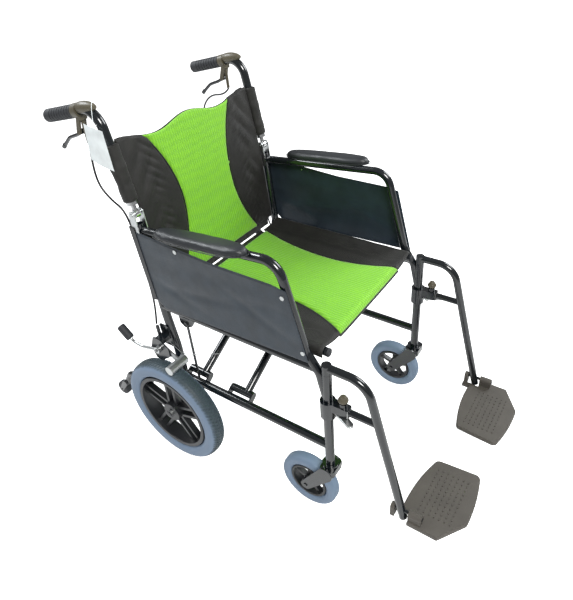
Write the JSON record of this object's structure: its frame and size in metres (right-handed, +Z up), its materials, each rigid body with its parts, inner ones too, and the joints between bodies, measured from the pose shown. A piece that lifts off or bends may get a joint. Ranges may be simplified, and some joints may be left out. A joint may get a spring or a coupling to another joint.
{
  "type": "transport wheelchair",
  "caption": "Folding attendant-pushed transport wheelchair with swing-away leg supports, folding back and hand brakes.",
  "frame": {"origin": "on the floor under the middle of the chair's overall length and width", "axes": "+Z up, the chair faces -Y, the sitter's right side is at -X"},
  "size_m": [0.636, 1.087, 0.9419],
  "materials": {
    "black_tube": "gloss",
    "zinc": "satin",
    "pad": "satin",
    "skirt_fabric": "matte",
    "tyre": "matte",
    "black_plastic": "gloss",
    "grip_rubber": "matte",
    "cable": "satin",
    "olive_plastic": "satin",
    "footplate_plastic": "matte",
    "seat_fabric": "matte",
    "back_fabric": "matte"
  },
  "bodies": {
    "right_side": {"right_side_frame": "black_tube", "right_stay_rod": "black_tube", "right_arm_pad": "pad", "right_skirt": "skirt_fabric", "right_frame_fasteners": "zinc", "right_hinge_lower": "zinc", "right_brake_cable": "cable", "right_parking_bracket": "black_tube", "right_anti_tip_arm": "black_tube"},
    "right_brace": {"right_brace": "black_tube"},
    "left_brace": {"left_brace": "black_tube", "seat_sling": "seat_fabric"},
    "left_side": {"left_side_frame": "black_tube", "left_stay_rod": "black_tube", "left_arm_pad": "pad", "left_skirt": "skirt_fabric", "left_frame_fasteners": "zinc", "left_hinge_lower": "zinc", "left_brake_cable": "cable", "left_parking_bracket": "black_tube", "left_anti_tip_arm": "black_tube"},
    "right_back": {"right_hinge_upper": "zinc", "right_back_post": "black_tube", "right_push_grip": "grip_rubber", "right_brake_mount": "black_plastic", "back_upholstery": "back_fabric"},
    "right_hand_lever": {"right_hand_lever": "black_tube"},
    "right_rear_wheel": {"right_rear_tyre": "tyre", "right_rear_rim": "black_plastic"},
    "right_caster_fork": {"right_caster_fork": "black_tube"},
    "right_caster_wheel": {"right_caster_tyre": "tyre", "right_caster_rim": "black_plastic"},
    "right_parking_lever": {"right_parking_lever": "zinc", "right_parking_grip": "grip_rubber"},
    "right_parking_shoe": {"right_parking_shoe": "zinc"},
    "right_anti_tip_wheel": {"right_anti_tip_wheel": "grip_rubber"},
    "right_hanger": {"right_hanger_tube": "black_tube", "right_hanger_clamp": "black_plastic"},
    "right_hanger_latch": {"right_hanger_latch": "zinc"},
    "right_hanger_knob": {"right_hanger_knob": "olive_plastic"},
    "right_footplate": {"right_footplate": "footplate_plastic"},
    "left_back": {"left_hinge_upper": "zinc", "left_back_post": "black_tube", "left_push_grip": "grip_rubber", "left_brake_mount": "black_plastic"},
    "left_hand_lever": {"left_hand_lever": "black_tube"},
    "left_rear_wheel": {"left_rear_tyre": "tyre", "left_rear_rim": "black_plastic"},
    "left_caster_fork": {"left_caster_fork": "black_tube"},
    "left_caster_wheel": {"left_caster_tyre": "tyre", "left_caster_rim": "black_plastic"},
    "left_parking_lever": {"left_parking_lever": "zinc", "left_parking_grip": "grip_rubber"},
    "left_parking_shoe": {"left_parking_shoe": "zinc"},
    "left_anti_tip_wheel": {"left_anti_tip_wheel": "grip_rubber"},
    "left_hanger": {"left_hanger_tube": "black_tube", "left_hanger_clamp": "black_plastic"},
    "left_hanger_latch": {"left_hanger_latch": "zinc"},
    "left_hanger_knob": {"left_hanger_knob": "olive_plastic"},
    "left_footplate": {"left_footplate": "footplate_plastic"}
  },
  "joints": [
    {"name": "frame_fold", "type": "hinge", "parent": "right_side", "child": "right_brace", "pos_m": [-0.216, 0.105, 0.247], "axis": [0, -1, 0], "range_deg": [0, 48], "deforming": ["seat_sling", "back_upholstery"]},
    {"name": "brace_cross", "type": "hinge", "parent": "right_brace", "child": "left_brace", "pos_m": [0, 0.105, 0.367], "axis": [0, -1, 0], "range_deg": [-96, 0]},
    {"name": "left_side_lift", "type": "hinge", "parent": "left_brace", "child": "left_side", "pos_m": [0.216, 0.105, 0.247], "axis": [0, -1, 0], "range_deg": [0, 48]},
    {"name": "right_back_fold", "type": "hinge", "parent": "right_side", "child": "right_back", "pos_m": [-0.237, 0.258, 0.705], "axis": [-1, 0, 0], "range_deg": [0, 116], "deforming": ["right_brake_cable", "back_upholstery"]},
    {"name": "right_hand_lever_squeeze", "type": "hinge", "parent": "right_back", "child": "right_hand_lever", "pos_m": [-0.237, 0.373, 0.878], "axis": [1, 0, 0], "range_deg": [0, 15], "stiffness_Nm_per_rad": 1.2},
    {"name": "right_rear_wheel_spin", "type": "hinge", "parent": "right_side", "child": "right_rear_wheel", "pos_m": [-0.29, 0.218, 0.155], "axis": [1, 0, 0], "continuous": true},
    {"name": "right_caster_swivel", "type": "hinge", "parent": "right_side", "child": "right_caster_fork", "pos_m": [-0.237, -0.231, 0.2], "axis": [0, 0, 1], "continuous": true},
    {"name": "right_caster_spin", "type": "hinge", "parent": "right_caster_fork", "child": "right_caster_wheel", "pos_m": [-0.237, -0.172, 0.076], "axis": [1, 0, 0], "continuous": true},
    {"name": "right_parking_lever_pull", "type": "hinge", "parent": "right_side", "child": "right_parking_lever", "pos_m": [-0.29, 0.231, 0.356], "axis": [1, 0, 0], "range_deg": [0, 35]},
    {"name": "right_parking_shoe_press", "type": "hinge", "parent": "right_side", "child": "right_parking_shoe", "pos_m": [-0.29, 0.209, 0.352], "axis": [1, 0, 0], "range_deg": [0, 25]},
    {"name": "right_anti_tip_spin", "type": "hinge", "parent": "right_side", "child": "right_anti_tip_wheel", "pos_m": [-0.237, 0.5215, 0.035], "axis": [1, 0, 0], "continuous": true},
    {"name": "right_hanger_swing", "type": "hinge", "parent": "right_side", "child": "right_hanger", "pos_m": [-0.237, -0.231, 0.47], "axis": [0, 0, -1], "range_deg": [0, 90]},
    {"name": "right_latch_turn", "type": "hinge", "parent": "right_hanger", "child": "right_hanger_latch", "pos_m": [-0.237, -0.258, 0.352], "axis": [0, 0, 1], "range_deg": [0, 30], "stiffness_Nm_per_rad": 0.05},
    {"name": "right_knob_lift", "type": "slide", "parent": "right_hanger", "child": "right_hanger_knob", "axis": [0, 0, 1], "range_m": [0, 0.006], "stiffness_N_per_m": 400},
    {"name": "right_footplate_flip", "type": "hinge", "parent": "right_hanger", "child": "right_footplate", "pos_m": [-0.237, -0.421, 0.134], "axis": [0, -1, 0], "range_deg": [0, 90]},
    {"name": "left_back_fold", "type": "hinge", "parent": "left_side", "child": "left_back", "pos_m": [0.237, 0.258, 0.705], "axis": [-1, 0, 0], "range_deg": [0, 116], "deforming": ["left_brake_cable"]},
    {"name": "left_hand_lever_squeeze", "type": "hinge", "parent": "left_back", "child": "left_hand_lever", "pos_m": [0.237, 0.373, 0.878], "axis": [1, 0, 0], "range_deg": [0, 15], "stiffness_Nm_per_rad": 1.2},
    {"name": "left_rear_wheel_spin", "type": "hinge", "parent": "left_side", "child": "left_rear_wheel", "pos_m": [0.29, 0.218, 0.155], "axis": [1, 0, 0], "continuous": true},
    {"name": "left_caster_swivel", "type": "hinge", "parent": "left_side", "child": "left_caster_fork", "pos_m": [0.237, -0.231, 0.2], "axis": [0, 0, 1], "continuous": true},
    {"name": "left_caster_spin", "type": "hinge", "parent": "left_caster_fork", "child": "left_caster_wheel", "pos_m": [0.237, -0.172, 0.076], "axis": [1, 0, 0], "continuous": true},
    {"name": "left_parking_lever_pull", "type": "hinge", "parent": "left_side", "child": "left_parking_lever", "pos_m": [0.29, 0.231, 0.356], "axis": [1, 0, 0], "range_deg": [0, 35]},
    {"name": "left_parking_shoe_press", "type": "hinge", "parent": "left_side", "child": "left_parking_shoe", "pos_m": [0.29, 0.209, 0.352], "axis": [1, 0, 0], "range_deg": [0, 25]},
    {"name": "left_anti_tip_spin", "type": "hinge", "parent": "left_side", "child": "left_anti_tip_wheel", "pos_m": [0.237, 0.5215, 0.035], "axis": [1, 0, 0], "continuous": true},
    {"name": "left_hanger_swing", "type": "hinge", "parent": "left_side", "child": "left_hanger", "pos_m": [0.237, -0.231, 0.47], "axis": [0, 0, 1], "range_deg": [0, 90]},
    {"name": "left_latch_turn", "type": "hinge", "parent": "left_hanger", "child": "left_hanger_latch", "pos_m": [0.237, -0.258, 0.352], "axis": [0, 0, -1], "range_deg": [0, 30], "stiffness_Nm_per_rad": 0.05},
    {"name": "left_knob_lift", "type": "slide", "parent": "left_hanger", "child": "left_hanger_knob", "axis": [0, 0, 1], "range_m": [0, 0.006], "stiffness_N_per_m": 400},
    {"name": "left_footplate_flip", "type": "hinge", "parent": "left_hanger", "child": "left_footplate", "pos_m": [0.237, -0.421, 0.134], "axis": [0, 1, 0], "range_deg": [0, 90]}
  ],
  "couplings": [
    {"joint": "brace_cross", "follows": "frame_fold", "ratio": -2},
    {"joint": "left_side_lift", "follows": "frame_fold", "ratio": 1},
    {"joint": "left_back_fold", "follows": "right_back_fold", "ratio": 1},
    {"joint": "right_footplate_flip", "follows": "frame_fold", "ratio": 1.875},
    {"joint": "right_parking_shoe_press", "follows": "right_parking_lever_pull", "ratio": 0.71428},
    {"joint": "left_footplate_flip", "follows": "frame_fold", "ratio": 1.875},
    {"joint": "left_parking_shoe_press", "follows": "left_parking_lever_pull", "ratio": 0.71428}
  ]
}
